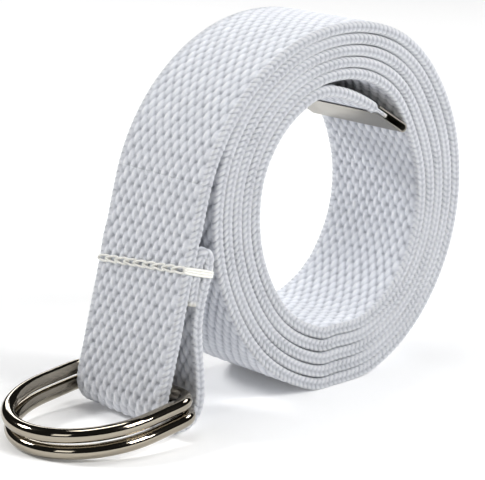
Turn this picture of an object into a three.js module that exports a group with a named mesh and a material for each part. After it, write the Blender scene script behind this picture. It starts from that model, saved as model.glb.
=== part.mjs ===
import * as THREE from "three";

// A webbing belt rolled into a coil that stands on its outer wrap. Its free end wears a metal clip inside the
// coil. The other end leaves the coil, folds round the bars of two D-rings and is sewn back on itself.
// X runs from the rings to the coil, Y along the coil's axis, Z up. Sizes are in millimetres.

// Webbing
const strapWidth = 32;
const strapThickness = 2.6;
const edgeRounding = 0.45;
const wrapGap = 0.35;

// Coil: its radius is the centre line's where the first full turn ends. Angles run along the strap from the
// free end, counted from +X towards +Z.
const coilRadius = 31;
const freeEndAngle = 105;
const leaveAngle = 1920;
const wrapStep = 7.5;
const bottomSag = 0.8;

// How the wraps depart from a round, even roll: their radius as a share of the coil's, and the gap between
// them as a share of the wrap gap. The coil stands a little tall and its wraps are tightest on top.
const coilForm = [
  { angle: 0, radius: 0.952, slack: 1.7 },
  { angle: 30, radius: 0.953, slack: 2.2 },
  { angle: 60, radius: 1.042, slack: 1.4 },
  { angle: 90, radius: 1.056, slack: 0.5 },
  { angle: 120, radius: 1.03, slack: 0.55 },
  { angle: 150, radius: 0.985, slack: 0.95 },
  { angle: 180, radius: 0.93, slack: 1 },
  { angle: 210, radius: 0.926, slack: 1 },
  { angle: 240, radius: 0.99, slack: 1.4 },
  { angle: 270, radius: 1.045, slack: 2.05 },
  { angle: 300, radius: 1.04, slack: 1.5 },
  { angle: 330, radius: 0.99, slack: 1.3 },
];

// Free end: it springs away from the wraps into the hole, and its pressed tongue sits in the clip. The clip's
// mouth lies at shares of the coil's radius from the coil's centre, and the bends are shares of the free span.
const clipMouth = { across: 0.382, up: 0.762 };
const clipSlant = 32;
const freeEndBend = { atWraps: 0.2, atClip: 0.5 };
const tongueLength = 4;
const tongueThickness = 1;
const tongueTaper = 1.2;
const freeEndSteps = 10;

// End clip: a sheet folded round the tongue
const clipLength = 11.8;
const clipSheet = 0.4;
const clipClearance = 0.3;

// Drop: the strap leaves the coil in a bend and runs down straight, this many degrees off vertical
const leaveRadius = 48.5;
const dropSlant = 15.3;

// Loop and hem: the loop's radius is the centre line's at the fold round the bars
const loopRadius = 5.6;
const loopOpening = 186;
const layerGap = 0.1;
const hemHeight = 43.2;
const hemLength = 11.5;
const foldStep = 22.5;

// D-rings: the depth runs from the bar's centre line to the bow's
const wireDiameter = 3.7;
const ringInnerWidth = 34.8;
const ringDepth = 34.9;
const bowDepth = 21;
const ringCornerRadius = 4.2;
const ringSteps = 64;
const wireSides = 10;
const ringGap = 0.3;
const barSeat = 0.8;
const ringSideShift = -0.5;
const lowerRingTurn = 3.5;
const upperRingTurn = 2.5;
const upperBarSetBack = 0.2;
const barAhead = 0.1;

const layerPitch = strapThickness + layerGap;
const fullTurn = 360;
const radians = THREE.MathUtils.degToRad;

const webbing = new THREE.MeshStandardMaterial({ color: 0xdfe4ef, roughness: 0.85, metalness: 0 });
const nickel = new THREE.MeshStandardMaterial({ color: 0xc9c4bb, roughness: 0.15, metalness: 1 });

// The form table, repeated a turn before and after so that it reads smoothly all round
const formRows = [-fullTurn, 0, fullTurn].flatMap((turn) =>
  coilForm.map((row) => ({ ...row, angle: row.angle + turn })),
);
const formCurve = new THREE.CubicInterpolant(
  formRows.map((row) => row.angle),
  formRows.flatMap((row) => [row.radius, row.slack]),
  2,
);

function wrapRadius(angle) {
  const [radius, slack] = formCurve.evaluate(THREE.MathUtils.euclideanModulo(angle, fullTurn));
  const pitch = strapThickness + wrapGap * slack;
  return coilRadius * radius + (pitch * (angle - fullTurn)) / fullTurn;
}

// The outermost wrap's lowest stretch, where the coil rests
const restAngle = leaveAngle - THREE.MathUtils.euclideanModulo(leaveAngle - 270, fullTurn);
const coilCentreHeight = wrapRadius(restAngle) + strapThickness / 2 - bottomSag;

// How far the floor presses every wrap in, so that the outer one lies flat on it
function floorPress(angle) {
  const fromRest = THREE.MathUtils.euclideanModulo(angle - restAngle + fullTurn / 2, fullTurn) - fullTurn / 2;
  if (Math.abs(fromRest) > fullTurn / 8) return 0;
  const outside = wrapRadius(restAngle + fromRest) + strapThickness / 2;
  return Math.max(0, outside - coilCentreHeight / Math.cos(radians(fromRest)));
}

function coilPoint(angle) {
  const radius = wrapRadius(angle) - floorPress(angle);
  return new THREE.Vector2(
    radius * Math.cos(radians(angle)),
    coilCentreHeight + radius * Math.sin(radians(angle)),
  );
}

// Direction along the strap, towards the rings
function coilDirection(angle) {
  const step = wrapStep / 10;
  return coilPoint(angle + step).sub(coilPoint(angle - step)).normalize();
}

const along = (point, direction, length) => point.clone().addScaledVector(direction, length);
const leftOf = (direction) => new THREE.Vector2(-direction.y, direction.x);

// Points of a round bend, from a start point and direction, turning left for a positive radius
function bend(start, direction, radius, turn, step) {
  const centre = along(start, leftOf(direction), radius);
  const steps = Math.ceil(Math.abs(turn) / step);
  return Array.from({ length: steps }, (_, i) =>
    start.clone().rotateAround(centre, radians((Math.sign(radius) * turn * (i + 1)) / steps)),
  );
}

// Free end, from the wraps to the clip's mouth
const freeEndStart = coilPoint(freeEndAngle);
const clipDirection = new THREE.Vector2(1, 0).rotateAround(new THREE.Vector2(), -radians(clipSlant));
const clipStart = new THREE.Vector2(clipMouth.across * coilRadius, coilCentreHeight + clipMouth.up * coilRadius);
const freeEndReach = freeEndStart.distanceTo(clipStart);
const freeEnd = new THREE.CubicBezierCurve(
  freeEndStart,
  along(freeEndStart, coilDirection(freeEndAngle), -freeEndReach * freeEndBend.atWraps),
  along(clipStart, clipDirection, -freeEndReach * freeEndBend.atClip),
  clipStart,
);

// Drop, from the coil to the loop
const dropDirection = new THREE.Vector2(0, -1).rotateAround(new THREE.Vector2(), -radians(dropSlant));
const leaveDirection = coilDirection(leaveAngle);
const leaveTurn = THREE.MathUtils.radToDeg(dropDirection.angle() - leaveDirection.angle());
const leaveBend = bend(coilPoint(leaveAngle), leaveDirection, leaveRadius, leaveTurn, wrapStep);
const dropStart = leaveBend[leaveBend.length - 1];
const inward = leftOf(dropDirection);
const loopBottom = loopRadius + strapThickness / 2;
const dropLength = (loopBottom - dropStart.y - inward.y * loopRadius) / dropDirection.y;
const dropEnd = along(dropStart, dropDirection, dropLength);
const loopCentre = along(dropEnd, inward, loopRadius);
const loop = bend(dropEnd, dropDirection, loopRadius, loopOpening, foldStep);

// Hem: the back layer runs up beside the drop, turns over and ends between the two layers
const foldRadius = layerPitch / 2;
const foldDistance = (hemHeight - foldRadius - strapThickness / 2 - dropStart.y - inward.y * 1.5 * layerPitch)
  / dropDirection.y;
const foldCentre = along(along(dropStart, dropDirection, foldDistance), inward, 1.5 * layerPitch);
const hemTop = along(foldCentre, inward, foldRadius);
const hemBottom = along(hemTop, dropDirection, hemLength);
const upward = dropDirection.clone().negate();
const hemFold = bend(hemTop, upward, foldRadius, fullTurn / 2, foldStep);
const tuckedEnd = along(hemFold[hemFold.length - 1], dropDirection, hemLength);

// Back layer, from the loop to the hem
const loopEnd = loop[loop.length - 1];
const loopEndDirection = dropDirection.clone().rotateAround(new THREE.Vector2(), radians(loopOpening));
const backLayerReach = loopEnd.distanceTo(hemBottom) / 3;
const backLayer = new THREE.CubicBezierCurve(
  loopEnd,
  along(loopEnd, loopEndDirection, backLayerReach),
  along(hemBottom, dropDirection, backLayerReach),
  hemBottom,
);

// Centre line of the whole strap in side view, with the half thickness at each point
function strapLine() {
  const line = [];
  const add = (points, half = strapThickness / 2) => points.forEach((point) => line.push({ point, half }));
  add([along(clipStart, clipDirection, tongueTaper + tongueLength)], tongueThickness / 2);
  add([along(clipStart, clipDirection, tongueTaper)], tongueThickness / 2);
  add(freeEnd.getPoints(freeEndSteps).slice(1).toReversed());
  const wraps = Math.round((leaveAngle - freeEndAngle) / wrapStep);
  for (let i = 0; i <= wraps; i++)
    add([coilPoint(freeEndAngle + ((leaveAngle - freeEndAngle) * i) / wraps)]);
  add(leaveBend);
  const dropSteps = Math.ceil(dropLength / (2 * strapThickness));
  for (let i = 1; i <= dropSteps; i++) add([along(dropStart, dropDirection, (dropLength * i) / dropSteps)]);
  add(loop);
  add(backLayer.getPoints(8).slice(1));
  add([hemTop]);
  add(hemFold);
  add([tuckedEnd]);
  return line;
}

// Closed side outline of a strip that follows the line
function stripOutline(line) {
  const sides = [1, -1].map((side) =>
    line.map(({ point, half }, i) => {
      const before = line[Math.max(i - 1, 0)].point;
      const after = line[Math.min(i + 1, line.length - 1)].point;
      const into = point.clone().sub(before).normalize();
      const out = after.clone().sub(point).normalize();
      const direction = into.add(out).normalize();
      return along(point, leftOf(direction), side * half);
    }),
  );
  return new THREE.Shape([...sides[0], ...sides[1].toReversed()]);
}

// A side outline in X and Z, made a solid across the strap's width
function acrossWidth(outline, width, rounding) {
  const geometry = new THREE.ExtrudeGeometry(outline, {
    depth: width - 2 * rounding,
    steps: 1,
    bevelEnabled: rounding > 0,
    bevelThickness: rounding,
    bevelSize: rounding,
    bevelOffset: -rounding,
    bevelSegments: 2,
    curveSegments: 8,
  });
  geometry.translate(0, 0, rounding - width / 2);
  return geometry.rotateX(Math.PI / 2);
}

function makeStrap() {
  const strap = new THREE.Mesh(acrossWidth(stripOutline(strapLine()), strapWidth, edgeRounding), webbing);
  strap.name = "strap";
  return strap;
}

function makeEndClip() {
  const innerHalf = tongueThickness / 2 + clipClearance;
  const outerHalf = innerHalf + clipSheet;
  const bowCentre = clipLength - outerHalf;
  const outline = new THREE.Shape();
  outline.moveTo(0, -outerHalf);
  outline.absarc(bowCentre, 0, outerHalf, -Math.PI / 2, Math.PI / 2, false);
  outline.lineTo(0, outerHalf);
  outline.lineTo(0, innerHalf);
  outline.absarc(bowCentre, 0, innerHalf, Math.PI / 2, -Math.PI / 2, true);
  outline.lineTo(0, -innerHalf);
  const clip = new THREE.Mesh(acrossWidth(outline, strapWidth, 0), nickel);
  clip.name = "end_clip";
  const mouth = along(clipStart, clipDirection, tongueTaper);
  clip.position.set(mouth.x, 0, mouth.y);
  clip.rotation.y = -clipDirection.angle();
  return clip;
}

// The D-ring's centre line, lying flat with its bar along Y through the origin and its bow towards -X
class RingLine extends THREE.Curve {
  constructor() {
    super();
    const halfWidth = (ringInnerWidth + wireDiameter) / 2;
    const bowStart = bowDepth - ringDepth;
    const corner = ringCornerRadius;
    this.outline = new THREE.Path();
    this.outline.moveTo(0, 0);
    this.outline.lineTo(0, halfWidth - corner);
    this.outline.absarc(-corner, halfWidth - corner, corner, 0, Math.PI / 2, false);
    this.outline.lineTo(bowStart, halfWidth);
    this.outline.absellipse(bowStart, 0, bowDepth, halfWidth, Math.PI / 2, (3 * Math.PI) / 2, false);
    this.outline.lineTo(-corner, -halfWidth);
    this.outline.absarc(-corner, corner - halfWidth, corner, -Math.PI / 2, 0, false);
    this.outline.lineTo(0, 0);
  }

  getPoint(share, target = new THREE.Vector3()) {
    const point = this.outline.getPoint(share);
    return target.set(point.x, point.y, 0);
  }
}

// Both rings lie at the slant that puts the lower bow on the floor
const lowerBar = new THREE.Vector3(loopCentre.x - barAhead, ringSideShift, strapThickness + barSeat + wireDiameter / 2);
const ringSlant = Math.asin((lowerBar.z - wireDiameter / 2) / ringDepth);
const stackDirection = new THREE.Vector3(-Math.sin(ringSlant), 0, Math.cos(ringSlant));
const setBackDirection = new THREE.Vector3(-Math.cos(ringSlant), 0, -Math.sin(ringSlant));
const upperBar = lowerBar
  .clone()
  .addScaledVector(stackDirection, wireDiameter + ringGap)
  .addScaledVector(setBackDirection, upperBarSetBack);

function makeRing(name, bar, turn) {
  const wire = new THREE.TubeGeometry(new RingLine(), ringSteps, wireDiameter / 2, wireSides, true);
  const ring = new THREE.Mesh(wire, nickel);
  ring.name = name;
  ring.position.copy(bar);
  ring.rotation.set(0, -ringSlant, radians(turn), "ZYX");
  return ring;
}

const belt = new THREE.Group();
belt.add(
  makeStrap(),
  makeEndClip(),
  makeRing("lower_d_ring", lowerBar, lowerRingTurn),
  makeRing("upper_d_ring", upperBar, upperRingTurn),
);

// The origin is on the floor, under the middle of the whole belt
const extent = new THREE.Box3().setFromObject(belt, true);
const middle = extent.getCenter(new THREE.Vector3());
belt.position.set(-middle.x, -middle.y, -extent.min.z);

export default belt;
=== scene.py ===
import math

import bmesh
import bpy
import numpy as np
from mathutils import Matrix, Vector


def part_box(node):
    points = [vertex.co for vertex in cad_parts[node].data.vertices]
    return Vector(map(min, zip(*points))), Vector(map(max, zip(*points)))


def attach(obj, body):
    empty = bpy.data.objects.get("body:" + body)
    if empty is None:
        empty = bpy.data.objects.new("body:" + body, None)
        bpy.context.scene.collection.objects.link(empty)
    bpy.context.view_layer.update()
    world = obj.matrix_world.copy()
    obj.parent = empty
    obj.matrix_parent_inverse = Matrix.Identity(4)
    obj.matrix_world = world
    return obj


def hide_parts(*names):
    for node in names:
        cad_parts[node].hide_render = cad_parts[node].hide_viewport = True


bl_info = {
    "name": "Double ring belt",
    "version": (1, 0, 0),
    "blender": (4, 5, 0),
    "location": "3D View > Sidebar > Belt",
    "description": "Woven strap, sewn seam, nickel rings and end clip for the rolled belt",
    "category": "Object",
}

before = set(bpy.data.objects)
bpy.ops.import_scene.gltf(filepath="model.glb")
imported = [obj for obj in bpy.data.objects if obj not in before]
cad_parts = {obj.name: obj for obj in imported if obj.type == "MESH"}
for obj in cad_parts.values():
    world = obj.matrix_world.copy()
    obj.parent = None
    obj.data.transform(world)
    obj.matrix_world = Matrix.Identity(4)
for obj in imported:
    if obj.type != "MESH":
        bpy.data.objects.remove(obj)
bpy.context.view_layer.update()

MM = 0.001
PHOTO_WIDTH = 485

# the strap's stretches and how finely they are woven
FREE_END = 46 * MM
LEAVE_HEIGHT = 58 * MM
PAST_FIRST_ROUND = 70 * MM
BEFORE_LAST_ROUND = 6 * MM
FINE_STEP, COARSE_STEP = 0.32 * MM, 0.38 * MM
STEPS_PER_YARN = 4
HIDDEN_COLUMNS = 8
EDGE_STEPS = 8
CLEARANCE = 0.03 * MM
EDGE_SWELL = 0.2 * MM
SEALED_LENGTH = 1.6 * MM
PRESSED_FADE = 10 * MM

# how much one yarn differs from the next
PHASE_SCATTER, WIDTH_SCATTER, HEIGHT_SCATTER = 0.03, 0.05, 0.07
PLACE_SCATTER = 0.08 * MM
YARN_LEAN = 0.1 * MM
PLUMP_EVEN, PLUMP_ODD = 1.03, 0.93

# the seam
LINK_POINTS, LINK_OVERLAP = 14, 0.82
CHAIN_INSET = 0.8 * MM
EDGE_STRANDS, STRAND_POINTS = 3, 15

# the studio's lamps: name, place, size and power in watts, all aimed at AIM
AIM = (0.0, 0.0, 0.04)
LAMPS = (
    ("key", (0.25, -0.8, 0.8), (0.4, 0.2), 6.0),
    ("front", (0.35, -1.0, 0.6), (0.6, 0.06), 5.2),
    ("top", (0.05, 0.15, 1.1), (0.5, 0.3), 2.7),
    ("left", (-1.0, -0.25, 0.5), (0.4, 0.4), 1.0),
    ("right", (0.9, -0.3, 0.7), (0.3, 0.25), 2.8),
    ("back", (-0.55, 0.85, 0.8), (0.3, 0.25), 10.5),
    ("behind", (0.6, 1.0, 0.5), (0.5, 0.2), 1.5),
)


# ------------------------------------------------------------------ settings


def length(name, description, default, unit="LENGTH"):
    return bpy.props.FloatProperty(
        name=name, description=description, default=default * MM, subtype="DISTANCE", unit=unit, precision=5
    )


def colour(name, description, default):
    return bpy.props.FloatVectorProperty(
        name=name, description=description, default=default, subtype="COLOR", size=3, min=0, max=1
    )


def number(name, description, default):
    return bpy.props.FloatProperty(name=name, description=description, default=default)


class WebbingSettings(bpy.types.PropertyGroup):
    warp_columns: bpy.props.IntProperty(
        name="Warp columns", description="Warp yarns side by side between the selvedges", default=20
    )
    float_length: length("Float length", "Length in which a warp yarn goes over and under once", 4.35)
    float_half: length("Float half length", "Half the length of a yarn that is up", 2.12)
    float_width: length("Float half width", "Half the width of a yarn that is up, at its middle", 1.2)
    relief: length("Relief", "Height of a yarn's crown over the gap beside it", 0.95)
    crown_lift: length("Crown lift", "How far a crown stands out of the solid's face", 0.28)
    selvedge: length("Selvedge", "Width of the bound edge seen on a face", 1.8)
    stitch_length: length("Stitch length", "Length of one V of the bound edge", 1.5)
    edge_relief: length("Edge relief", "Height of the bound edge's stitches", 0.85)
    pressed_length: length("Pressed length", "How far from the free end its inner side is pressed smooth", 42)
    pressed_depth: length("Pressed depth", "How far the pressed side lies below the solid's face", 0.55)
    fill: length("Fill", "How far a hidden face may swell towards the next wrap", 0.3)
    crown: colour("Crown colour", "Yarn where it is up", (0.80, 0.82, 0.87))
    # painted highlight: near-white colour for the fibres on top of a yarn, where the light would catch them
    painted_glint: colour("Glint colour", "Fibres on top of a yarn that catch the light", (0.96, 0.97, 0.98))
    # painted shade: the darker colour given to the gaps between the yarns, where shade falls in them
    painted_gap_shade: colour("Hollow colour", "Gap between the yarns", (0.36, 0.38, 0.43))
    sealed: colour("Sealed end colour", "Cut end where the yarns are melted together", (0.80, 0.77, 0.68))


class SeamSettings(bpy.types.PropertyGroup):
    height: length("Seam height", "Height of the seam over the floor", 37.4)
    slant: length("Seam slant", "How much lower the seam is at the far edge than at the near one", 3.2)
    link_length: length("Link length", "Length of one link of the chain stitch", 4.4)
    link_width: length("Link width", "Width of one link", 1.35)
    thread: length("Thread", "Diameter of the sewing thread", 0.6)
    cream: colour("Thread colour", "Undyed thread", (0.94, 0.92, 0.85))


class MetalSettings(bpy.types.PropertyGroup):
    nickel: colour("Nickel", "Polished nickel plate of the rings", (0.38, 0.34, 0.275))
    clip_nickel: colour("Clip nickel", "Plate of the end clip, duller than the rings", (0.33, 0.31, 0.27))
    roughness: number("Roughness", "Roughness of the rings' plate", 0.07)
    clip_roughness: number("Clip roughness", "Roughness of the clip's plate", 0.3)
    clip_edge: length("Clip edge", "Rounding of the clip's edges", 0.1)


class StudioSettings(bpy.types.PropertyGroup):
    azimuth: number("Azimuth", "Camera azimuth in degrees", -41.988)
    elevation: number("Elevation", "Camera elevation in degrees", 15.279)
    focal: number("Focal length", "Focal length in pixels of the photo", 2092.184)
    ahead: length("Ahead", "Camera ahead of the coil's far side, along -X", 393.2)
    aside: length("Aside", "Camera in front of the strap's middle, along -Y", 368.73)
    above: length("Above", "Camera over the floor", 173.17)
    floor: colour("Floor colour", "Pale floor", (0.96, 0.96, 0.96))


# ------------------------------------------------------------------ the strap's route


def side_outline(node):
    """The strap's front side as a closed loop of points in X and Z, and how far it is set in."""
    solid = bmesh.new()
    solid.from_mesh(node.data)
    bmesh.ops.remove_doubles(solid, verts=solid.verts, dist=1e-6)
    levels = sorted({round(v.co.y, 6) for v in solid.verts})
    front = levels[0]
    side = {f for f in solid.faces if all(abs(v.co.y - front) < 2e-6 for v in f.verts)}
    rim = [e for e in solid.edges if len(side.intersection(e.link_faces)) == 1]
    beside = {}
    for edge in rim:
        for v in edge.verts:
            beside.setdefault(v, []).append(edge.other_vert(v))
    start = rim[0].verts[0]
    loop, before, here = [start], None, start
    while True:
        after = next(v for v in beside[here] if v is not before)
        if after is start:
            break
        loop.append(after)
        before, here = here, after
    points = np.array([(v.co.x, v.co.z) for v in loop])
    solid.free()
    return points, levels[len(levels) // 2 - 1] - front


class Route:
    """The strap's centre line, read from its node, with places given by their distance from the free end."""

    def __init__(self, node):
        loop, set_in = side_outline(node)
        half = len(loop) // 2
        turns = [np.roll(loop, -k, axis=0) for k in range(len(loop))]
        spread = [np.hypot(*(t[:half] - t[half:][::-1]).T).sum() for t in turns]
        best = turns[int(np.argmin(spread))]
        left, right = best[:half], best[half:][::-1]
        if np.hypot(*(left - right)[0]) > np.hypot(*(left - right)[-1]):
            left, right = left[::-1], right[::-1]
        self.points = (left + right) / 2
        steps = np.hypot(*np.diff(self.points, axis=0).T)
        self.stations = np.concatenate([[0], np.cumsum(steps)])
        self.length = self.stations[-1]
        self.slopes = np.gradient(self.points, self.stations, axis=0)
        self.halves = np.hypot(*(left - right).T) / 2 + set_in
        low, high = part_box("strap")
        self.half_width = (high.y - low.y) / 2
        self.middle = (high.y + low.y) / 2
        self.inner_room, self.outer_room = self.rooms()

    def rooms(self):
        """Half the gap to the next layer of the strap, on the inside and on the outside, at each station."""
        fine = np.arange(0, self.length, 0.5 * MM)
        centre, normal = self.place(fine)
        across = centre[:, None, :] - self.points[None, :, :]
        place, unit = self.place(self.stations)
        out = np.einsum("fsk,sk->fs", across, unit)
        along = np.abs(np.einsum("fsk,sk->fs", across, np.column_stack([unit[:, 1], -unit[:, 0]])))
        near = (along < 0.6 * MM) & (np.abs(fine[:, None] - self.stations[None, :]) > 9 * MM)
        gap = np.abs(out) - self.half(fine)[:, None] - self.halves[None, :]
        rooms = []
        for side in (out > 0, out < 0):
            room = np.where(near & side, gap, 4 * MM).min(axis=0) / 2
            rooms.append(np.minimum(np.minimum(room, np.roll(room, 1)), np.roll(room, -1)))
        return rooms

    def place(self, s):
        """Centre points and unit normals towards the coil's inside, at distances s."""
        i = np.clip(np.searchsorted(self.stations, s, side="right") - 1, 0, len(self.stations) - 2)
        span = (self.stations[i + 1] - self.stations[i])[:, None]
        t = (s - self.stations[i])[:, None] / span
        p, q = self.points[i], self.points[i + 1]
        m, n = self.slopes[i] * span, self.slopes[i + 1] * span
        point = (2 * t**3 - 3 * t**2 + 1) * p + (t**3 - 2 * t**2 + t) * m
        point += (3 * t**2 - 2 * t**3) * q + (t**3 - t**2) * n
        slope = ((6 * t**2 - 6 * t) * (p - q) + (3 * t**2 - 4 * t + 1) * m + (3 * t**2 - 2 * t) * n) / span
        slope /= np.hypot(*slope.T)[:, None]
        return point, np.column_stack([-slope[:, 1], slope[:, 0]])

    def half(self, s):
        return np.interp(s, self.stations, self.halves)

    def room(self, s, inside):
        """Half the gap to the next layer at distances s, on the inside where that is true."""
        inner = np.interp(s, self.stations, self.inner_room)
        return np.where(inside, inner, np.interp(s, self.stations, self.outer_room))

    def at_height(self, height, still=0):
        """Distance at which the strap passes a height downwards, with so many such passes still to come."""
        z = self.points[:, 1]
        down = [i for i in range(len(z) - 1) if z[i] >= height > z[i + 1]]
        i = down[-1 - still]
        step = self.stations[i + 1] - self.stations[i]
        return self.stations[i] + (z[i] - height) / (z[i] - z[i + 1]) * step


route = Route(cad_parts["strap"])


# ------------------------------------------------------------------ shader helpers


class Value:
    """A shader value that takes arithmetic."""

    def __init__(self, tree, socket):
        self.tree, self.socket = tree, socket

    def _math(self, operation, *others):
        node = self.tree.nodes.new("ShaderNodeMath")
        node.operation = operation
        for slot, item in zip(node.inputs, others):
            if isinstance(item, Value):
                self.tree.links.new(item.socket, slot)
            else:
                slot.default_value = item
        return Value(self.tree, node.outputs[0])

    def __add__(self, other):
        return self._math("ADD", self, other)

    def __sub__(self, other):
        return self._math("SUBTRACT", self, other)

    def __rsub__(self, other):
        return self._math("SUBTRACT", other, self)

    def __mul__(self, other):
        return self._math("MULTIPLY", self, other)

    __radd__ = __add__
    __rmul__ = __mul__

    def at_least(self, other):
        return self._math("MAXIMUM", self, other)

    def at_most(self, other):
        return self._math("MINIMUM", self, other)


class Finish:
    """A material and the nodes in it."""

    def __init__(self, name):
        self.material = bpy.data.materials.new(name)
        self.material.use_nodes = True
        self.tree = self.material.node_tree
        self.shader = self.tree.nodes["Principled BSDF"]

    def node(self, kind, settings=None, **inputs):
        """A node of a kind, with its settings made first and then its sockets' values or links."""
        node = self.tree.nodes.new(kind)
        for key, value in (settings or {}).items():
            setattr(node, key, value)
        for key, value in inputs.items():
            self.feed(node, key, value)
        return node

    def feed(self, node, key, value):
        """Sets or links one socket, named by its label with _ for a space, or by its number as n0, n1."""
        numbered = key[0] == "n" and key[1:].isdigit()
        slot = node.inputs[int(key[1:]) if numbered else key.replace("_", " ")]
        if isinstance(value, Value):
            self.tree.links.new(value.socket, slot)
        elif isinstance(value, bpy.types.NodeSocket):
            self.tree.links.new(value, slot)
        elif slot.type == "RGBA":
            slot.default_value = (*value[:3], 1)
        else:
            slot.default_value = value

    def value(self, socket):
        return Value(self.tree, socket)

    def mix(self, factor, low, high):
        """Colour between low and high."""
        node = self.node("ShaderNodeMix", {"data_type": "RGBA"}, n0=factor, n6=low, n7=high)
        return node.outputs[2]

    def noise(self, vector, scale, detail, roughness):
        sockets = {"Vector": vector, "Scale": scale, "Detail": detail, "Roughness": roughness}
        return self.value(self.node("ShaderNodeTexNoise", None, **sockets).outputs["Fac"])

    def surface(self, **inputs):
        for key, value in inputs.items():
            self.feed(self.shader, key, value)

    def bump(self, height, distance, strength):
        node = self.node("ShaderNodeBump", None, Strength=strength, Distance=distance, Height=height)
        return node.outputs["Normal"]


def webbing_finish(name, settings):
    """Woven cotton: crowns and hollows of the yarns with painted shade in the hollows, painted highlights on
    the crowns and in bright specks, their fibres and a sealed cut end.
    """
    finish = Finish(name)
    weave = finish.node("ShaderNodeAttribute", {"attribute_name": "weave"}).outputs["Vector"]
    painted_light_mask = finish.value(finish.node("ShaderNodeAttribute", {"attribute_name": "painted_light_mask"}).outputs["Fac"])
    sealed = finish.value(finish.node("ShaderNodeAttribute", {"attribute_name": "sealed"}).outputs["Fac"])
    parts = finish.node("ShaderNodeSeparateXYZ", None, Vector=weave)
    along, across = (finish.value(parts.outputs[i]) for i in (0, 1))
    stretched = finish.node("ShaderNodeCombineXYZ", None, X=along * 0.6, Y=across * 1.9, Z=0.0).outputs[0]
    fibre = finish.noise(stretched, 2.4, 3.0, 0.62)
    # painted highlight: scattered near-white sparkles in the colour; the same specks also raise small bumps
    painted_sparkle = ((finish.noise(weave, 3.1, 1.0, 0.5) - 0.62) * 7.0).at_least(0.0).at_most(1.0)
    mottle = finish.noise(weave, 0.22, 2.0, 0.55)
    # painted shade: the colour darkens from the crown colour to the gap colour as the weave sinks, with the
    # fibres' own tone mixed in
    up = (painted_light_mask * 1.3 + (fibre - 0.5) * 0.4).at_least(0.0).at_most(1.0)
    base = finish.mix(up, settings.painted_gap_shade, settings.crown)
    varied = finish.mix((mottle - 0.3) * 0.55, base, [0.93 * c for c in settings.crown])
    # painted highlight: near-white colour on the highest crowns and on the sparkling specks
    top = ((painted_light_mask + fibre * 0.5 - 1.08) * 4.0).at_least(0.0).at_most(0.55)
    bright = finish.mix(top.at_least(painted_sparkle * 0.8), varied, settings.painted_glint)
    finish.surface(Base_Color=finish.mix(sealed, bright, settings.sealed), Roughness=0.86)
    finish.surface(Normal=finish.bump(fibre + painted_sparkle * 0.5, 0.0003, 0.85))
    finish.shader.inputs["Sheen Weight"].default_value = 0.2
    finish.shader.inputs["Sheen Roughness"].default_value = 0.5
    finish.shader.inputs["Specular IOR Level"].default_value = 0.25
    return finish.material


def thread_finish(name, tint):
    """Twisted sewing thread."""
    finish = Finish(name)
    place = finish.node("ShaderNodeTexCoord").outputs["Object"]
    fibre = finish.noise(place, 5200.0, 2.0, 0.6)
    finish.surface(Base_Color=finish.mix(fibre, [0.72 * c for c in tint], [min(1, 1.12 * c) for c in tint]))
    finish.surface(Roughness=0.62, Normal=finish.bump(fibre, 0.00006, 0.6))
    finish.shader.inputs["Sheen Weight"].default_value = 0.15
    return finish.material


def nickel_finish(name, tint, roughness):
    """Polished nickel plate with faint wipe marks and a few dull spots."""
    finish = Finish(name)
    place = finish.node("ShaderNodeTexCoord").outputs["Object"]
    cloud = finish.noise(place, 90.0, 3.0, 0.6)
    grain = finish.noise(place, 2400.0, 2.0, 0.5)
    finish.surface(Base_Color=finish.mix(cloud, [0.9 * c for c in tint], tint), Metallic=1.0)
    finish.surface(Roughness=cloud * 0.09 + (roughness - 0.04))
    finish.surface(Normal=finish.bump(cloud + grain * 0.12, 0.00004, 0.35))
    return finish.material


# ------------------------------------------------------------------ pieces


def piece(name, mesh, body, material, slot_name, *nodes):
    """A finished piece on its body, standing for the named nodes."""
    thing = bpy.data.objects.new(name, mesh)
    bpy.context.scene.collection.objects.link(thing)
    mesh.materials.clear()
    mesh.materials.append(material)
    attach(thing, body)
    if nodes:
        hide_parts(*nodes)
    return thing


def jitter(index, seed):
    """A fixed scatter from -1 to 1 for each index."""
    return 2 * np.modf(np.abs(np.sin(index * 12.9898 + seed) * 43758.5453))[0] - 1


def yarn_height(s, y, settings):
    """Height of the weave's face at distance s and place y across it, from 0 in a gap to 1 on a crown."""
    field = route.half_width - settings.selvedge
    pitch = 2 * field / settings.warp_columns
    here = np.floor((y + field) / pitch)
    height = np.zeros_like(s)
    for beside in (-1, 0, 1):
        column = here + beside
        phase = s / settings.float_length + 0.5 * (column % 2) + PHASE_SCATTER * jitter(column, 1.7)
        turn = np.floor(phase)
        index = column + 57 * turn
        v = (phase - turn - 0.5) * settings.float_length / settings.float_half
        centre = (column + 0.5) * pitch - field + PLACE_SCATTER * jitter(index, 4.1)
        plump = np.where(column % 2 == 0, PLUMP_EVEN, PLUMP_ODD)
        half_width = settings.float_width * plump * (1 + WIDTH_SCATTER * jitter(index, 9.3))
        u = (y - centre - YARN_LEAN * v) / half_width
        dome = (0.96 + HEIGHT_SCATTER * jitter(index, 2.2)) * np.clip(1 - u**2 - v**2, 0, 1) ** 0.8
        height = np.maximum(height, dome)
    return height


def edge_height(s, around, settings):
    """Height of the bound edge's V stitches, where around runs from -1 to 1 over the edge."""
    turn = s / settings.stitch_length - 0.95 * np.abs(around)
    phase = 2 * (turn - np.floor(turn)) - 1
    groove = 1 - 0.45 * np.exp(-((around / 0.16) ** 2))
    return np.sqrt(1 - 0.92 * phase**2) * groove


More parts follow.
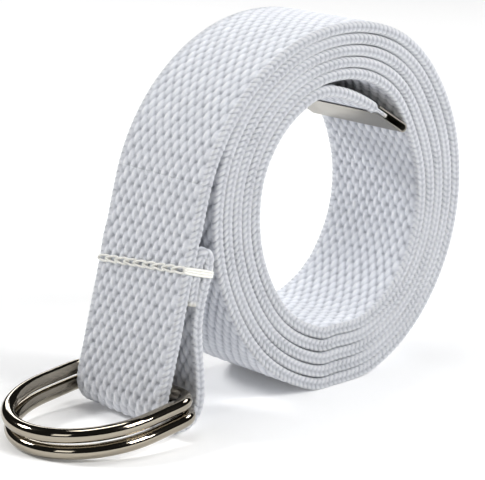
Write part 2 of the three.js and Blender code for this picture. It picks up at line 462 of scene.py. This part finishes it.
def section(columns_out, columns_in, settings):
    """The strap's section as places round it.

    Each has y, its share of the half thickness, its face (-1 out, 1 in, 0 edge) and its place round the edge.
    """
    flat = route.half_width - settings.selvedge
    steps = []
    for side, columns in ((-1, columns_out), (1, columns_in)):
        for k in range(columns + 1):
            steps.append((-side * flat * (2 * k / columns - 1), side, side, 0.0))
        for k in range(1, EDGE_STEPS):
            around = 2 * k / EDGE_STEPS - 1
            angle = around * math.pi / 2
            y = flat + settings.selvedge * abs(math.cos(angle)) ** 0.5
            steps.append((-side * y, -side * math.copysign(abs(math.sin(angle)) ** 0.7, angle), 0, around))
    return np.array(steps)


def band(name, start, end, step, settings, columns_out, columns_in, material):
    """One stretch of the strap, closed at both ends, with woven relief on the faces with columns for it."""
    shape = section(columns_out, columns_in, settings)
    around = len(shape)
    rows = max(2, round((end - start) / step))
    bm = bmesh.new()
    bmesh.ops.create_grid(bm, x_segments=rows, y_segments=around, size=1)
    mesh = bpy.data.meshes.new(name)
    bm.to_mesh(mesh)
    bm.free()
    grid = np.empty(len(mesh.vertices) * 3)
    mesh.vertices.foreach_get("co", grid)
    grid = grid.reshape(-1, 3)
    s = start + (grid[:, 0] + 1) / 2 * (end - start)
    k = np.round((grid[:, 1] + 1) / 2 * around).astype(int) % around
    y, share, face, turn = shape[k].T
    yarn = yarn_height(s, y, settings)
    edge = edge_height(s, turn, settings)
    inside = share > 0
    woven = np.where(inside, columns_in, columns_out) > HIDDEN_COLUMNS
    point, normal = route.place(s)
    half = route.half(s)
    thin = np.clip(half / route.halves.max(), 0, 1)
    room = route.room(s, inside) - CLEARANCE
    # painted light mask: 0 in the gaps between yarns and in the edge's grooves, which get painted shade, and
    # highest on the crowns, which get a painted highlight
    painted_light_mask = np.where(face == 0, np.clip(1.5 * edge - 0.38, 0, 1.14), yarn)
    swell = np.minimum(settings.fill, room)
    weft = settings.crown_lift - settings.relief * (1 - yarn)
    # the free end is pressed smooth on the side that faces the coil's hole
    pressed = np.where(inside, np.clip((settings.pressed_length - s) / PRESSED_FADE, 0, 1), 0)
    weft = weft * (1 - pressed) - settings.pressed_depth * pressed
    lift = np.where(woven, np.minimum(weft, room), swell) * thin
    stitch = settings.edge_relief * (edge - 0.8) * thin
    bound = face == 0
    rim = np.where(bound, np.minimum(swell, EDGE_SWELL) * thin + stitch * 0.5, lift)
    out = half * share + rim * np.where(bound, np.abs(share), 1) * np.sign(share)
    wide = y + np.where(bound, np.sign(y) * stitch * np.sqrt(1 - np.abs(share) ** 2), 0)
    side = point + normal * out[:, None]
    place = np.column_stack([side[:, 0], route.middle + wide, side[:, 1]])
    mesh.vertices.foreach_set("co", place.ravel())
    weave = mesh.attributes.new("weave", "FLOAT_VECTOR", "POINT")
    weave.data.foreach_set("vector", np.column_stack([s / MM, y / MM + share * 40, share]).ravel())
    mesh.attributes.new("painted_light_mask", "FLOAT", "POINT").data.foreach_set("value", painted_light_mask)
    to_cut = np.minimum(s, route.length - s)
    sealed = np.clip(1 - to_cut / SEALED_LENGTH, 0, 1) * 0.9
    mesh.attributes.new("sealed", "FLOAT", "POINT").data.foreach_set("value", sealed)
    bm = bmesh.new()
    bm.from_mesh(mesh)
    bmesh.ops.remove_doubles(bm, verts=bm.verts, dist=1e-7)
    bmesh.ops.holes_fill(bm, edges=[e for e in bm.edges if e.is_boundary], sides=0)
    bmesh.ops.recalc_face_normals(bm, faces=bm.faces)
    for f in bm.faces:
        f.smooth = len(f.verts) <= 4
    bm.to_mesh(mesh)
    bm.free()
    return piece(name, mesh, "belt", material, "webbing", "strap")


class BELT_OT_webbing(bpy.types.Operator):
    """Weave the strap along its route, in five stretches"""

    bl_idname = "belt.webbing"
    bl_label = "Webbing"

    def execute(self, context):
        settings = context.scene.belt_webbing
        material = webbing_finish("webbing", settings)
        shown, hidden = STEPS_PER_YARN * settings.warp_columns, HIDDEN_COLUMNS
        # the first upward pass of the coil's middle height tells where the strap has gone round once
        top = route.points[:, 1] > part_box("strap")[1].z / 2
        first_up = next(route.stations[i] for i in range(1, len(top)) if top[i] and not top[i - 1])
        first_round = first_up + PAST_FIRST_ROUND
        drop = route.at_height(LEAVE_HEIGHT)
        last_round = route.at_height(LEAVE_HEIGHT, still=1) - BEFORE_LAST_ROUND
        for name, start, end, step, outside, inside in (
            ("strap_free_end", 0, FREE_END, FINE_STEP, shown, shown),
            ("strap_first_wrap", FREE_END, first_round, FINE_STEP, hidden, shown),
            ("strap_inner_wraps", first_round, last_round, COARSE_STEP, hidden, hidden),
            ("strap_outer_wrap", last_round, drop, FINE_STEP, shown, hidden),
            ("strap_ring_end", drop, route.length, FINE_STEP, shown, shown),
        ):
            band(name, start, end, step, settings, outside, inside, material)
        return {"FINISHED"}


def thread_mesh(name, strands, diameter, closed):
    """A mesh of thread strands, each given as points."""
    curve = bpy.data.curves.new(name, "CURVE")
    curve.dimensions = "3D"
    curve.bevel_depth = diameter / 2
    curve.bevel_resolution = 1
    curve.use_fill_caps = True
    for points in strands:
        spline = curve.splines.new("POLY")
        spline.points.add(len(points) - 1)
        for node, p in zip(spline.points, points):
            node.co = (*p, 1)
        spline.use_cyclic_u = closed
    thing = bpy.data.objects.new(name + "_curve", curve)
    bpy.context.scene.collection.objects.link(thing)
    mesh = bpy.data.meshes.new_from_object(thing.evaluated_get(bpy.context.evaluated_depsgraph_get()))
    bpy.data.objects.remove(thing)
    bpy.data.curves.remove(curve)
    mesh.name = name
    for polygon in mesh.polygons:
        polygon.use_smooth = True
    return mesh


class BELT_OT_seam(bpy.types.Operator):
    """Sew the chain-stitched seam through the drop and the hem"""

    bl_idname = "belt.seam"
    bl_label = "Seam"

    def execute(self, context):
        settings = context.scene.belt_seam
        material = thread_finish("seam_thread", settings.cream)
        s = np.array([route.at_height(settings.height, still=1)])
        point, normal = route.place(s)
        centre, inward = Vector((point[0][0], 0, point[0][1])), Vector((normal[0][0], 0, normal[0][1]))
        down = Vector((inward.z, 0, -inward.x))
        half = route.half(s)[0]
        back = 5 * half  # behind the drop lie the hem's two layers, each as thick as the drop
        slope = settings.slant / (2 * route.half_width)
        links = max(1, round(2 * route.half_width / (settings.link_length * LINK_OVERLAP)))
        pitch = 2 * (route.half_width - settings.thread) / links
        limit = route.half_width - CHAIN_INSET
        chains = []
        for depth, out in ((-half, -1), (back, 1)):
            for k in range(links):
                y = (k + 0.5) * pitch - route.half_width + settings.thread
                loop = []
                for j in range(LINK_POINTS):
                    a = 2 * math.pi * j / LINK_POINTS
                    lift = settings.thread * (0.75 + 0.4 * math.cos(a))
                    width = settings.link_width / 2 * (1.0 - 0.5 * math.cos(a))
                    beside = max(-limit, min(limit, y + settings.link_length / 2 * math.cos(a)))
                    lower = width * math.sin(a) + slope * beside
                    place = centre + inward * (depth + out * lift) + down * lower
                    loop.append((place.x, route.middle + beside, place.z))
                chains.append(loop)
        chain = thread_mesh("seam_chain", chains, settings.thread, True)
        piece("seam_chain", chain, "belt", material, "webbing")
        wraps = []
        for k in range(EDGE_STRANDS):
            strand = []
            for j in range(STRAND_POINTS):
                t = j / (STRAND_POINTS - 1)
                bulge = math.sin(math.pi * t) ** 0.3
                reach = route.half_width + settings.thread * (0.75 + 0.25 * (k % 2)) * bulge - 0.5 * MM
                across = -half - 0.3 * MM + (back + half + 0.6 * MM) * t
                apart = (k - 1) * settings.thread * (0.75 + 0.3 * bulge)
                place = centre + inward * across + down * (apart - slope * route.half_width + 0.6 * MM * t)
                strand.append((place.x, route.middle - reach, place.z))
            wraps.append(strand)
        wrap = thread_mesh("seam_edge_wrap", wraps, settings.thread * 1.15, False)
        piece("seam_edge_wrap", wrap, "belt", material, "webbing")
        return {"FINISHED"}


def merged_copy(node):
    """A bmesh of a CAD node with its loose triangles joined."""
    bm = bmesh.new()
    bm.from_mesh(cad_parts[node].data)
    bmesh.ops.remove_doubles(bm, verts=bm.verts, dist=2e-6)
    return bm


class BELT_OT_rings(bpy.types.Operator):
    """Round and polish the two D-rings"""

    bl_idname = "belt.rings"
    bl_label = "D-rings"

    def execute(self, context):
        settings = context.scene.belt_metal
        material = nickel_finish("ring_nickel", settings.nickel, settings.roughness)
        for node, body in (("lower_d_ring", "lower_ring"), ("upper_d_ring", "upper_ring")):
            bm = merged_copy(node)
            limits = {"angle_face_threshold": math.radians(40), "angle_shape_threshold": math.radians(80)}
            bmesh.ops.join_triangles(bm, faces=bm.faces, **limits)
            for f in bm.faces:
                f.smooth = True
            mesh = bpy.data.meshes.new(node + "_wire")
            bm.to_mesh(mesh)
            bm.free()
            wire = piece(node + "_wire", mesh, body, material, "nickel", node)
            rounding = wire.modifiers.new("rounding", "SUBSURF")
            rounding.levels = rounding.render_levels = 2
        return {"FINISHED"}


class BELT_OT_clip(bpy.types.Operator):
    """Finish the end clip's folded sheet"""

    bl_idname = "belt.clip"
    bl_label = "End clip"

    def execute(self, context):
        settings = context.scene.belt_metal
        bm = merged_copy("end_clip")
        bmesh.ops.dissolve_limit(bm, angle_limit=math.radians(1), verts=bm.verts, edges=bm.edges)
        mesh = bpy.data.meshes.new("end_clip_sheet")
        bm.to_mesh(mesh)
        bm.free()
        material = nickel_finish("clip_nickel", settings.clip_nickel, settings.clip_roughness)
        sheet = piece("end_clip_sheet", mesh, "belt", material, "nickel", "end_clip")
        edge = sheet.modifiers.new("edge", "BEVEL")
        edge.width, edge.segments, edge.limit_method = settings.clip_edge, 3, "ANGLE"
        edge.angle_limit = math.radians(40)
        for polygon in mesh.polygons:
            polygon.use_smooth = True
        return {"FINISHED"}


# ------------------------------------------------------------------ stage


def area_light(name, place, size, power):
    """A soft lamp that faces the belt."""
    light = bpy.data.lights.new(name, "AREA")
    light.shape = "RECTANGLE"
    light.size, light.size_y = size
    light.energy = power
    lamp = bpy.data.objects.new(name, light)
    bpy.context.scene.collection.objects.link(lamp)
    lamp.location = place
    lamp.rotation_mode = "QUATERNION"
    lamp.rotation_quaternion = (Vector(AIM) - Vector(place)).to_track_quat("-Z", "Y")


class BELT_OT_studio(bpy.types.Operator):
    """Lay the floor, hang the lights and place the camera"""

    bl_idname = "belt.studio"
    bl_label = "Studio"

    def execute(self, context):
        settings = context.scene.belt_studio
        bm = bmesh.new()
        bmesh.ops.create_grid(bm, x_segments=2, y_segments=2, size=6)
        mesh = bpy.data.meshes.new("floor")
        bm.to_mesh(mesh)
        bm.free()
        floor = bpy.data.objects.new("floor", mesh)
        context.scene.collection.objects.link(floor)
        finish = Finish("floor_paper")
        # the lamps hang close to the belt, so the paper glows by itself farther away
        place = finish.node("ShaderNodeTexCoord").outputs["Object"]
        distance = finish.node("ShaderNodeVectorMath", {"operation": "LENGTH"}, n0=place).outputs["Value"]
        far = ((finish.value(distance) - 0.9) * 0.8).at_least(0.0).at_most(1.0)
        glow = finish.mix(far, [0.07 * c for c in settings.floor], [0.9 * c for c in settings.floor])
        finish.surface(Base_Color=settings.floor, Roughness=0.9, Emission_Color=glow, Emission_Strength=1.0)
        mesh.materials.append(finish.material)

        world = bpy.data.worlds.new("studio")
        world.use_nodes = True
        world.node_tree.nodes["Background"].inputs["Color"].default_value = (1.0, 0.99, 0.97, 1)
        world.node_tree.nodes["Background"].inputs["Strength"].default_value = 0.02
        context.scene.world = world
        context.scene.view_settings.view_transform = "Standard"

        for lamp in LAMPS:
            area_light(*lamp)

        camera = bpy.data.cameras.new("camera")
        camera.sensor_fit = "HORIZONTAL"
        camera.sensor_width = 36
        camera.lens = settings.focal / PHOTO_WIDTH * camera.sensor_width
        camera.clip_start, camera.clip_end = 0.01, 50
        view = bpy.data.objects.new("camera", camera)
        context.scene.collection.objects.link(view)
        low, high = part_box("strap")
        view.location = (high.x - settings.ahead, (low.y + high.y) / 2 - settings.aside, settings.above)
        a, e = math.radians(settings.azimuth), math.radians(settings.elevation)
        back = Vector((math.sin(a) * math.cos(e), -math.cos(a) * math.cos(e), math.sin(e)))
        view.rotation_mode = "QUATERNION"
        view.rotation_quaternion = (-back).to_track_quat("-Z", "Y")
        context.scene.camera = view
        return {"FINISHED"}


class BELT_PT_panel(bpy.types.Panel):
    """Lists the belt's pieces"""

    bl_label = "Belt"
    bl_idname = "BELT_PT_panel"
    bl_space_type = "VIEW_3D"
    bl_region_type = "UI"
    bl_category = "Belt"

    def draw(self, context):
        for operator in OPERATORS:
            self.layout.operator(operator.bl_idname)
        for name in SETTINGS:
            box = self.layout.box()
            group = getattr(context.scene, name)
            for key in group.bl_rna.properties.keys():
                if key not in {"rna_type", "name"}:
                    box.prop(group, key)


OPERATORS = (BELT_OT_webbing, BELT_OT_seam, BELT_OT_rings, BELT_OT_clip, BELT_OT_studio)
SETTINGS = {
    "belt_webbing": WebbingSettings,
    "belt_seam": SeamSettings,
    "belt_metal": MetalSettings,
    "belt_studio": StudioSettings,
}


def register():
    for group in (*SETTINGS.values(), *OPERATORS, BELT_PT_panel):
        bpy.utils.register_class(group)
    for name, group in SETTINGS.items():
        setattr(bpy.types.Scene, name, bpy.props.PointerProperty(type=group))


def unregister():
    for name in SETTINGS:
        delattr(bpy.types.Scene, name)
    for group in (BELT_PT_panel, *reversed(OPERATORS), *SETTINGS.values()):
        bpy.utils.unregister_class(group)


def main():
    register()
    bpy.ops.belt.webbing()
    bpy.ops.belt.seam()
    bpy.ops.belt.rings()
    bpy.ops.belt.clip()
    bpy.ops.belt.studio()


if __name__ == "__main__":
    main()
